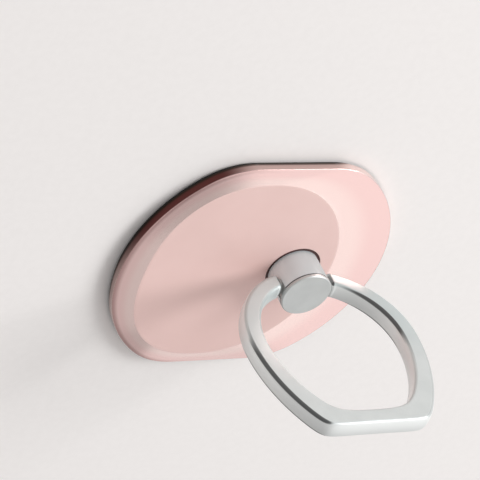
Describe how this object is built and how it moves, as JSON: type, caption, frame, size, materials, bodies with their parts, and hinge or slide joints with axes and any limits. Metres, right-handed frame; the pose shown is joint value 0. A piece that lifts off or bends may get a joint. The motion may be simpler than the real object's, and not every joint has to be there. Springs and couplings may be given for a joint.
{
  "type": "phone ring holder",
  "caption": "Stick-on phone ring holder: a rounded plate with straight sides, a turning post set off its middle and a folding D-shaped ring.",
  "frame": {"origin": "middle of the adhesive face, halfway along the plate and halfway across it", "axes": "+Z away from the phone, +X along the plate's straight sides towards the post, +Y across the plate; at rest the ring stands straight up from the plate, across Y"},
  "size_m": [0.04, 0.036, 0.031],
  "materials": {
    "plate": "rose-gold plating, satin on the raised field and polished on the border",
    "sheet_steel": "plain",
    "pad": "matt foam with adhesive on both faces",
    "brown_nylon": "matt",
    "grey_nylon": "matt",
    "satin_silver": "satin plating",
    "spring_steel": "bright"
  },
  "bodies": {
    "base": {"base_plate": "plate", "back_cover": "sheet_steel", "adhesive_pad": "pad", "swivel_bush": "brown_nylon"},
    "post": {"knob_post": "satin_silver", "knob_cap": "satin_silver", "swivel_rivet": "sheet_steel", "wave_washer": "spring_steel", "hinge_bush_left": "grey_nylon", "hinge_bush_right": "grey_nylon"},
    "ring": {"ring": "satin_silver"}
  },
  "joints": [
    {"name": "swivel", "type": "hinge", "parent": "base", "child": "post", "pos_m": [0.0059, 0, 0.00235], "axis": [0, 0, 1], "continuous": true},
    {"name": "ring_fold", "type": "hinge", "parent": "post", "child": "ring", "pos_m": [0.0059, 0, 0.00522], "axis": [1, 0, 0], "range_deg": [-90, 90]}
  ]
}
